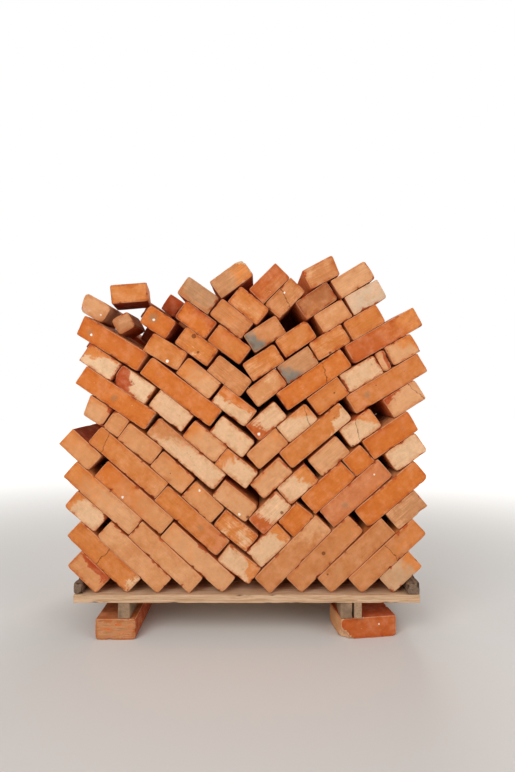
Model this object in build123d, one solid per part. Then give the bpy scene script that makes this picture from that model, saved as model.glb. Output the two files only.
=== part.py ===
from build123d import *
import os
from math import cos, radians, sin

# Pallet of solid clay bricks laid in a herringbone: two mirrored wings of courses slope down
# to the middle, and each course butts on the course of the other wing that was laid before it.
# Millimetres, +X to the right, +Y to the back, +Z up. The floor is z = 0, and x = 0 and y = 0
# are the middle of the footprint.

# Bricks. Two headers and a joint are as long as a stretcher.
STRETCHER = 250.0
BOND_JOINT = 10.0
HEADER = (STRETCHER - BOND_JOINT) / 2
THICKNESS = 62.5
THICK_BATCH = 67.0
LONG_FIRED = 1.055
SHORT_FIRED = 0.94
ARRIS = 2.0
SEAT = 0.3

# Load
HALF_DEPTH = STRETCHER
BETWEEN_HALVES = 6.0
LOAD_SETBACK = 10.0
BACK_SETBACK = 4.0
FACE_SCATTER = 3.0

# Pallet
BOARD_LENGTH = 1030.0
BOARD_THICKNESS = 25.0
BOARD_GAP = 5.0
BOARD_COUNT = 5
RUNNER_HEIGHT = 47.0
RUNNER_WIDTH = 36.0
SPLIT_RUNNER_WIDTH = 23.0
SPLIT_RUNNER_GAP = 5.0
LEFT_RUNNER_INSET = 132.0
RIGHT_RUNNER_INSET = 201.0
STOP_HEIGHT = 35.0
LEFT_STOP_WIDTH = 26.0
RIGHT_STOP_WIDTH = 38.0

# Bricks under the pallet
SUPPORT_OVERHANG = 17.0
SUPPORT_BAT_LENGTH = 172.0
SUPPORT_BAT_TURN = 8.5
SUPPORT_BAT_INSET = 2.0

# How a brick is let down
TURNS = [0, 10, -10, 20, -20, 30, -30, 40, -40, 50, -50, 60, -60, 70, -70, 80, -80]
FARTHEST = 3000.0
SMALLEST_MOVE = 0.02
BACK_OFF = 0.001
MOST_MOVES = 200
DROP_HEIGHT = 1500.0
DROP_CLEARANCE = 150.0

# The deck is as deep as the two halves of the load and its setbacks.
DECK_DEPTH = LOAD_SETBACK + 2 * HALF_DEPTH + BETWEEN_HALVES + BACK_SETBACK
BOARD_WIDTH = (DECK_DEPTH - (BOARD_COUNT - 1) * BOARD_GAP) / BOARD_COUNT
DECK_BOTTOM = THICKNESS + RUNNER_HEIGHT
DECK_TOP = DECK_BOTTOM + BOARD_THICKNESS
LEFT = -1
RIGHT = 1


def stretcher(slope, slack=0.0, firing=1.0):
    return STRETCHER * firing, slope, slack, 0.0


def header(slope, slack=0.0, firing=1.0):
    return HEADER * firing, slope, slack, 0.0


def bat(share, slope, slack=0.0, slant=0.0):
    """A broken share of a stretcher. By the slant, its top reaches further out than its bed."""
    return STRETCHER * share, slope, slack, slant


# Every course from the middle outwards: the slope of each brick in degrees, the slack that
# friction left below it, and how it came out of the kiln.
LEFT_COURSES = {
    1: [header(44)],
    2: [stretcher(43.5)],
    3: [stretcher(43.5), header(40.5, 12)],
    4: [stretcher(43), stretcher(41.5, 0, LONG_FIRED)],
    5: [stretcher(42), stretcher(41.5, 4, LONG_FIRED), header(43, 22)],
    6: [header(37), stretcher(42, 4), stretcher(40.5, 15, LONG_FIRED)],
    7: [header(39, 0, LONG_FIRED), header(43, 4), header(42, 4, LONG_FIRED),
        header(37.5, 5, LONG_FIRED), bat(0.22, 35), bat(0.264, 33, 4, 14)],
    8: [header(38.5, 0, LONG_FIRED), stretcher(40.5, 6, LONG_FIRED), stretcher(34, 10)],
    9: [header(38.5, 2), header(39, 10, LONG_FIRED), header(38, 10, LONG_FIRED), header(34, 10),
        header(34, 4, SHORT_FIRED)],
    10: [header(39, 0, LONG_FIRED), stretcher(37.5, 8, LONG_FIRED), bat(0.848, 31.5, 10, 8)],
    11: [header(38, 0, LONG_FIRED), header(39, 8, LONG_FIRED), header(31, 4)],
    12: [header(38.5, 2, LONG_FIRED), header(36, 7), bat(0.38, 33, 28)],
    13: [header(37, 6), header(36, 7, SHORT_FIRED)],
    14: [header(39), header(35, 3, SHORT_FIRED)],
    15: [header(39.5, 4, SHORT_FIRED)],
}
RIGHT_COURSES = {
    1: [header(42)],
    2: [stretcher(42.7, 0, LONG_FIRED)],
    3: [stretcher(43.5, 0, LONG_FIRED), header(40, 13, SHORT_FIRED)],
    4: [stretcher(45, 0, LONG_FIRED), stretcher(40, 16, SHORT_FIRED)],
    5: [stretcher(45.5, 0, LONG_FIRED), stretcher(41.5, 10, SHORT_FIRED), header(34.5, 16, SHORT_FIRED)],
    6: [header(43.5, 16, LONG_FIRED), bat(0.352, 46, 4, -7), bat(0.664, 42, 6, -3),
        bat(0.296, 40, 8, -4), bat(0.64, 34, 0, 5)],
    7: [header(45, 12), header(41, 9, SHORT_FIRED), header(41.5, 12, SHORT_FIRED),
        header(35.5, 11, SHORT_FIRED), header(32, 0.168 * STRETCHER, SHORT_FIRED)],
    8: [header(43, 26), stretcher(40, 4, SHORT_FIRED), stretcher(31, 18)],
    9: [header(41.5, 8), header(39.5, 4, SHORT_FIRED), header(36.5, 8, SHORT_FIRED), header(30.5, 10),
        bat(0.108, 27, 0, 3), bat(0.368, 29, 4, -3)],
    10: [header(41, 10, SHORT_FIRED), stretcher(35, 12, SHORT_FIRED), stretcher(29.5, 9, SHORT_FIRED)],
    11: [header(38, 10, SHORT_FIRED), header(34, 14, SHORT_FIRED), header(31, 3, SHORT_FIRED),
         header(30, 6, SHORT_FIRED)],
    12: [header(33, 6, SHORT_FIRED), header(34, 7, SHORT_FIRED), bat(0.4, 31, 22, -3),
         header(29, 5, SHORT_FIRED)],
    13: [header(33, 3, SHORT_FIRED), header(34, 0.28 * STRETCHER, SHORT_FIRED), header(31, 8)],
    14: [header(46, 0, SHORT_FIRED), bat(0.388, 28, 18, 7)],
    15: [header(45, 0, SHORT_FIRED)],
    16: [header(36)],
}
# How far out from the middle the first brick of a course is let down.
LET_DOWN = {(LEFT, 15): 0.24 * STRETCHER, (RIGHT, 14): 0.46 * STRETCHER, (RIGHT, 16): -0.24 * STRETCHER}
USUAL_LET_DOWN = 0.4 * STRETCHER
# The first courses of each wing stand with their feet on the deck.
STANDING_COURSES = 5
THICK_COURSES = [(RIGHT, 4), (RIGHT, 5), (RIGHT, 6), (RIGHT, 7)]

# Courses of the back half that differ from the front half's.
BACK_COURSES = {
    (LEFT, 10): [header(37, 0, LONG_FIRED), stretcher(37, 0, LONG_FIRED), bat(0.5, 37)],
    (LEFT, 13): [header(37), header(36, 0, SHORT_FIRED), bat(0.22, 34)],
}

# Loose pieces on top of the left wing, in the order of laying: the wing that each slopes like,
# how far its foot lies out from the end of the course beside it, its slope and sizes, how far
# it is set back from the front of the load, and how far its back end is turned to the left.
LOOSE = {
    "loose_leaning_bat": {
        "wing": LEFT, "beside": (LEFT, 10), "out": -0.232 * STRETCHER, "piece": bat(0.32, 31, 0, 14),
        "thickness": 59.0, "setback": 60.0, "depth": 185.0, "turn": 0.0,
    },
    "loose_tipped_bat": {
        "wing": RIGHT, "beside": (LEFT, 10), "out": -0.468 * STRETCHER, "piece": bat(0.23, 30),
        "thickness": 54.0, "setback": 45.0, "depth": 150.0, "turn": 0.0,
    },
    "loose_level_brick": {
        "wing": LEFT, "beside": (LEFT, 12), "out": -0.06 * STRETCHER, "piece": header(-6, 0, SHORT_FIRED),
        "thickness": 59.0, "setback": 67.0, "depth": 140.0, "turn": 8.0,
    },
}


def laying_order(first, second):
    """The wings take turns, one course at a time. The one laid first is the same all the way up."""
    order = [(first, number) for number in range(1, STANDING_COURSES + 1)]
    order += [(second, number) for number in range(1, STANDING_COURSES + 1)]
    for number in range(STANDING_COURSES + 1, 14):
        order += [(first, number), (second, number)]
    return order + [(LEFT, 14), (LEFT, 15), (RIGHT, 14), (RIGHT, 15), (RIGHT, 16)]


def outline(foot, length, thickness, slope, slant, wing):
    """Front face of a brick with worn arrises. Its foot is the lower corner nearest the middle."""
    up = Vector(wing * cos(radians(slope)), 0, sin(radians(slope)))
    square = Vector(-wing * sin(radians(slope)), 0, cos(radians(slope)))
    points = []
    for along, across in ((0, 0), (length, 0), (length + slant, thickness), (0, thickness)):
        side = 1 if along == 0 else -1
        rise = 1 if across == 0 else -1
        lean = 0 if along == 0 else rise * slant * ARRIS / thickness
        end_cut = up * (along + lean) + square * (across + rise * ARRIS)
        face_cut = up * (along + side * ARRIS) + square * across
        pair = (end_cut, face_cut) if side == rise else (face_cut, end_cut)
        points += [(foot[0] + p.X, foot[1] + p.Z) for p in pair]
    return points


def grown(foot, length, thickness, slope, slant, wing):
    """A brick as it is laid, with half the seat gap on every side."""
    return outline(foot, length + SEAT, thickness + SEAT, slope, slant, wing)


def outer_foot(points, wing):
    """The lower corner of a laid brick's outer end."""
    return max(points, key=lambda p: wing * p[0])


def edges(points):
    return list(zip(points, points[1:] + points[:1]))


def reach(point, way, start, end, limit):
    """How far the point moves before it meets the edge, if that is under the limit."""
    edge_x = end[0] - start[0]
    edge_z = end[1] - start[1]
    turn = edge_x * way[1] - edge_z * way[0]
    if abs(turn) < 1e-12:
        return limit
    gap_x = start[0] - point[0]
    gap_z = start[1] - point[1]
    distance = (edge_x * gap_z - edge_z * gap_x) / turn
    place = (way[0] * gap_z - way[1] * gap_x) / turn
    if -1e-7 <= place <= 1 + 1e-7 and -1e-6 <= distance < limit:
        return distance
    return limit


def is_in_the_way(points, other, way, limit):
    for axis in (0, 1):
        low = min(p[axis] for p in points) + min(0, way[axis] * limit)
        high = max(p[axis] for p in points) + max(0, way[axis] * limit)
        if max(p[axis] for p in other) < low or min(p[axis] for p in other) > high:
            return False
    return True


def travel(points, laid, way):
    """How far an outline moves one way before it touches what is already laid."""
    limit = FARTHEST
    back = (-way[0], -way[1])
    own_edges = edges(points)
    for other in laid:
        if not is_in_the_way(points, other, way, limit):
            continue
        for start, end in edges(other):
            for point in points:
                limit = reach(point, way, start, end, limit)
        for point in other:
            for start, end in own_edges:
                limit = reach(point, back, start, end, limit)
        if limit < SMALLEST_MOVE:
            break
    return limit


def moved(points, way, distance):
    return [(x + way[0] * distance, z + way[1] * distance) for x, z in points]


def settled(points, laid, wing):
    """Lets a brick slide down until nothing lets it get lower."""
    for _ in range(MOST_MOVES):
        for turn in TURNS:
            way = (-wing * sin(radians(turn)), -cos(radians(turn)))
            distance = travel(points, laid, way)
            if SMALLEST_MOVE < distance < FARTHEST:
                points = moved(points, way, distance - BACK_OFF)
                break
        else:
            break
    return points


def held_back(points, laid, slope, wing, slack):
    """Pulls a brick up its slope by the slack and sets it square down again."""
    up = (wing * cos(radians(slope)), sin(radians(slope)))
    down = (wing * sin(radians(slope)), -cos(radians(slope)))
    points = moved(points, up, min(slack, travel(points, laid, up)))
    return moved(points, down, travel(points, laid, down) - BACK_OFF)


def rectangle(left, bottom, right, top):
    return [(left, bottom), (right, bottom), (right, top), (left, top)]


def ground_outlines():
    """The deck and the two stop bars, with half the seat gap around them."""
    half = SEAT / 2
    end = BOARD_LENGTH / 2
    deck = rectangle(-2 * end, DECK_BOTTOM, 2 * end, DECK_TOP + half)
    stop_top = DECK_TOP + STOP_HEIGHT + half
    left_stop = rectangle(-end - half, DECK_BOTTOM, -end + LEFT_STOP_WIDTH + half, stop_top)
    right_stop = rectangle(end - RIGHT_STOP_WIDTH - half, DECK_BOTTOM, end + half, stop_top)
    return [deck, left_stop, right_stop]


def lean_first(foot_x, length, thickness, slope, wing, laid):
    """A brick of a standing course: its foot is on the deck and its bed leans outwards."""
    points = grown((foot_x, DECK_TOP + 2 * thickness), length, thickness, slope, 0.0, wing)
    points = settled(points, laid, wing)
    outwards = (wing, 0)
    return moved(points, outwards, travel(points, laid[1:], outwards) - BACK_OFF)


def lay_half(order, own_courses):
    """Lays every course of one half of the load and gives the outlines by course."""
    laid = ground_outlines()
    foot_x = {
        LEFT: -BOARD_LENGTH / 2 + LEFT_STOP_WIDTH + ARRIS + SEAT,
        RIGHT: BOARD_LENGTH / 2 - RIGHT_STOP_WIDTH - ARRIS - SEAT,
    }
    courses = {}
    for wing, number in order:
        bricks = (LEFT_COURSES if wing == LEFT else RIGHT_COURSES)[number]
        bricks = own_courses.get((wing, number), bricks)
        thickness = THICK_BATCH if (wing, number) in THICK_COURSES else THICKNESS
        outer_end = None
        courses[wing, number] = []
        for length, slope, slack, slant in bricks:
            if outer_end is None and number <= STANDING_COURSES:
                points = lean_first(foot_x[wing], length, thickness, slope, wing, laid)
                foot_x[wing] = min(points, key=lambda p: p[1])[0]
            else:
                if outer_end is None:
                    start = (wing * LET_DOWN.get((wing, number), USUAL_LET_DOWN), DROP_HEIGHT)
                else:
                    start = (outer_end[0], outer_end[1] + DROP_CLEARANCE)
                points = settled(grown(start, length, thickness, slope, slant, wing), laid, wing)
                if slack:
                    points = held_back(points, laid, slope, wing, slack)
            laid.append(points)
            outer_end = outer_foot(points, wing)
            courses[wing, number].append((points, length, thickness, slope, slant, wing))
    return courses, laid


def swept(points, loose):
    """The outline that a turned piece covers from its front to its back end."""
    foot_x = max(x for x, _ in points)
    front = [(foot_x + (x - foot_x) * cos(radians(loose["turn"])), z) for x, z in points]
    sideways = loose["depth"] * sin(radians(loose["turn"]))
    corners = sorted(front + moved(front, (-1, 0), sideways))
    around = []
    for row in (corners, corners[::-1]):
        side = []
        for x, z in row:
            while len(side) > 1 and not turns_left(side[-2], side[-1], (x, z)):
                side.pop()
            side.append((x, z))
        around += side[:-1]
    return around


def turns_left(first, second, third):
    return (second[0] - first[0]) * (third[1] - first[1]) > (second[1] - first[1]) * (third[0] - first[0])


def dropped(loose, courses, laid):
    """A loose piece let straight down onto the load."""
    end_x, _ = outer_foot(courses[loose["beside"]][-1][0], LEFT)
    length, slope, _, slant = loose["piece"]
    thickness = loose["thickness"]
    wing = loose["wing"]
    start = (end_x - loose["out"], DROP_HEIGHT)
    points = grown(start, length, thickness, slope, slant, wing)
    covered = swept(points, loose)
    down = (0, -1)
    points = moved(points, down, travel(covered, laid, down) - BACK_OFF)
    return points, length, thickness, slope, slant, wing


def turned(solid, foot_x, foot_y, turn):
    """The solid turned about the vertical through the foot of its front face."""
    return Pos(foot_x, foot_y, 0) * Rot(0, 0, turn) * Pos(-foot_x, -foot_y, 0) * solid


def loose_pieces(courses, laid, load_front):
    nodes = {}
    for name, loose in LOOSE.items():
        piece = dropped(loose, courses, laid)
        laid.append(swept(piece[0], loose))
        front = load_front + loose["setback"]
        foot_x = max(x for x, _ in piece[0])
        nodes[name] = [turned(brick(*piece, front, loose["depth"]), foot_x, front, loose["turn"])]
    return nodes


def middle(points):
    return sum(p[0] for p in points) / len(points), sum(p[1] for p in points) / len(points)


def brick(points, length, thickness, slope, slant, wing, front, depth):
    """The solid of a laid brick, shrunk to its real size about the middle of its outline."""
    centre_x, centre_z = middle(points)
    real = outline((0, 0), length, thickness, slope, slant, wing)
    real_x, real_z = middle(real)
    corners = [Vector(x + centre_x - real_x, front, z + centre_z - real_z) for x, z in real]
    face = make_face(Polyline(*corners, close=True))
    return extrude(face, amount=depth, dir=(0, 1, 0))


def scatter(wing, number, place, row):
    """Every face stands a little forward or back of its neighbours, in one of five steps."""
    step = (7 * number + 3 * place + 2 * row + wing) % 5
    return FACE_SCATTER * (step - 2) / 4


def course_solids(bricks, wing, number, half_front):
    """Headers run through the half, and stretchers lie in it one behind the other."""
    solids = []
    for place, laid_brick in enumerate(bricks):
        depth = HEADER if laid_brick[1] > HEADER * LONG_FIRED + ARRIS else HALF_DEPTH
        for row, start in enumerate((0, HALF_DEPTH - depth) if depth == HEADER else (0,)):
            front = half_front + start + scatter(wing, number, place, row)
            solids.append(brick(*laid_brick, front, depth))
    return solids


def block(low, high):
    size = Vector(*high) - Vector(*low)
    return Pos(*low) * Box(size.X, size.Y, size.Z, align=(Align.MIN, Align.MIN, Align.MIN))


def deck_board(place):
    front = -DECK_DEPTH / 2 + place * (BOARD_WIDTH + BOARD_GAP)
    end = BOARD_LENGTH / 2
    return block((-end, front, DECK_BOTTOM), (end, front + BOARD_WIDTH, DECK_TOP))


def cross_bar(left, width, bottom, height):
    """A bar that runs from the front of the deck to its back."""
    half = DECK_DEPTH / 2
    return block((left, -half, bottom), (left + width, half, bottom + height))


def load():
    """Every node of bricks above the deck: a list of solids by name."""
    load_front = -DECK_DEPTH / 2 + LOAD_SETBACK
    back_front = load_front + HALF_DEPTH + BETWEEN_HALVES
    front_half, front_laid = lay_half(laying_order(LEFT, RIGHT), {})
    back_half, _ = lay_half(laying_order(RIGHT, LEFT), BACK_COURSES)
    nodes = {}
    for (wing, number), bricks in front_half.items():
        solids = course_solids(bricks, wing, number, load_front)
        solids += course_solids(back_half[wing, number], wing, number, back_front)
        side = "left" if wing == LEFT else "right"
        nodes[f"{side}_course_{number:02d}"] = solids
    nodes.update(loose_pieces(front_half, front_laid, load_front))
    return nodes


def pallet():
    """Deck boards, the runners under them and the stop bars on them."""
    end = BOARD_LENGTH / 2
    nodes = {f"deck_board_{place + 1}": [deck_board(place)] for place in range(BOARD_COUNT)}
    left_runner = -end + LEFT_RUNNER_INSET
    right_runner = end - RIGHT_RUNNER_INSET - RUNNER_WIDTH
    split_runner = right_runner + RUNNER_WIDTH + SPLIT_RUNNER_GAP
    nodes["left_runner"] = [cross_bar(left_runner, RUNNER_WIDTH, THICKNESS, RUNNER_HEIGHT)]
    nodes["right_runner"] = [cross_bar(right_runner, RUNNER_WIDTH, THICKNESS, RUNNER_HEIGHT)]
    nodes["split_runner"] = [cross_bar(split_runner, SPLIT_RUNNER_WIDTH, THICKNESS, RUNNER_HEIGHT)]
    nodes["left_stop_bar"] = [cross_bar(-end, LEFT_STOP_WIDTH, DECK_TOP, STOP_HEIGHT)]
    right_stop = end - RIGHT_STOP_WIDTH
    nodes["right_stop_bar"] = [cross_bar(right_stop, RIGHT_STOP_WIDTH, DECK_TOP, STOP_HEIGHT)]
    return nodes


def supports():
    """Whole bricks under the runners, and a broken one across at the front right."""
    half = DECK_DEPTH / 2
    left = -BOARD_LENGTH / 2 + LEFT_RUNNER_INSET + RUNNER_WIDTH + SUPPORT_OVERHANG - HEADER
    right_runner = BOARD_LENGTH / 2 - RIGHT_RUNNER_INSET - RUNNER_WIDTH
    right = right_runner - SUPPORT_OVERHANG
    back = half - STRETCHER
    place = Pos(right_runner + SUPPORT_BAT_INSET, -half, 0) * Rot(0, 0, SUPPORT_BAT_TURN)
    return {
        "support_front_left": [block((left, -half, 0), (left + HEADER, -half + STRETCHER, THICKNESS))],
        "support_back_left": [block((left, back, 0), (left + HEADER, half, THICKNESS))],
        "support_back_right": [block((right, back, 0), (right + HEADER, half, THICKNESS))],
        "support_bat": [place * block((0, 0, 0), (SUPPORT_BAT_LENGTH, HEADER, THICKNESS))],
    }


def save_all(nodes):
    """Writes each node, moved so that x = 0 is the middle of the footprint."""
    os.makedirs("parts", exist_ok=True)
    boxes = [solid.bounding_box() for solids in nodes.values() for solid in solids]
    middle_x = (min(box.min.X for box in boxes) + max(box.max.X for box in boxes)) / 2
    for name, solids in nodes.items():
        placed = [Pos(-middle_x, 0, 0) * solid for solid in solids]
        export_step(Compound(children=placed), f"parts/{name}.step")


save_all({**load(), **pallet(), **supports()})
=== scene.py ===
from math import radians

import bpy
import numpy as np
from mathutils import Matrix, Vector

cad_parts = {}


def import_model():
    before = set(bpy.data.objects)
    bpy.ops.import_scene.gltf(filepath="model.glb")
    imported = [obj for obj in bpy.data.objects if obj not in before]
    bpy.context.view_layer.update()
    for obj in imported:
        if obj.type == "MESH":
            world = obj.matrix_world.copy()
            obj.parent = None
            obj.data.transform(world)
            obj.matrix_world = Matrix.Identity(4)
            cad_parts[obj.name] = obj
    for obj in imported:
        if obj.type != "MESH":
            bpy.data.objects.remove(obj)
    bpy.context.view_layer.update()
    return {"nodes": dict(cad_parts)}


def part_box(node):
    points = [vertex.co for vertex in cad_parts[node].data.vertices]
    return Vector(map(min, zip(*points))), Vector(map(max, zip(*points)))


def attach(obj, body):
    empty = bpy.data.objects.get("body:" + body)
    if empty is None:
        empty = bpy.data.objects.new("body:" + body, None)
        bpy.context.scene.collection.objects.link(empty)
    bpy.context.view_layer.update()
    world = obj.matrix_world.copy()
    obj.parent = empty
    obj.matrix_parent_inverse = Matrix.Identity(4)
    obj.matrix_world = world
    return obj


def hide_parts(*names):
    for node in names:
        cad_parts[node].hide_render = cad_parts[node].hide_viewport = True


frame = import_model()

# Shapes and patterns are in millimetres. They are turned into metres when a mesh is made.
MM = 0.001
LEFT = -1
RIGHT = 1
INNER_END, OUTER_END, BED, TOP, FRONT, BACK = range(6)

# Colours as they look in even light, red, green and blue from 0 to 255.
COLOURS = {
    "saturated": (214, 119, 50),
    "amber": (214, 129, 65),
    "orange": (221, 136, 70),
    "apricot": (219, 150, 97),
    "sand": (224, 163, 114),
    "shell": (233, 188, 146),
    "cream": (236, 196, 156),
    "pink": (230, 180, 146),
    "pale": (222, 190, 160),
    "pink_orange": (212, 130, 82),
    "tan_orange": (208, 135, 82),
    "tan": (204, 144, 98),
    "beige": (210, 164, 124),
    "grey_tan": (190, 140, 100),
    "brown": (178, 108, 64),
    "rust": (186, 84, 42),
    "burnt": (198, 100, 46),
    "dark": (150, 64, 36),
    "scorch": (134, 124, 112),
}
# A pale face has a crisp border to another tone, and so has rust. The others run into each other.
PALE = ("shell", "cream", "pink", "pale")
CRISP = 0.05
BLURRED = 0.45
USUAL_BURN = 0.55
USUAL_ROUGH = 0.25
PALE_ROUGH = 0.7
USUAL_PITS = 0.08
USUAL_STREAKS = 0.3
NOWHERE = (-1000, 0, 0)


def face(tone, patch="burnt", amount=0.0, lean=(0.0, 0.0), rim=0.0, rim_tone="burnt", **more):
    """One face of a brick: its tone, and a patch of another tone that leans to an end or an edge.

    amount says how much of the face the patch takes, and lean is (outwards, upwards)."""
    look = {"tone": tone, "patch": patch, "lean": lean, "amount": amount, "rim": rim, "rim_tone": rim_tone}
    is_crisp = (tone in PALE) != (patch in PALE) or patch == "rust"
    look["soft"] = CRISP if is_crisp else BLURRED
    look["burn"] = USUAL_BURN
    look["rough"] = PALE_ROUGH if tone in PALE else USUAL_ROUGH
    look.update(more)
    return look


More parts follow.
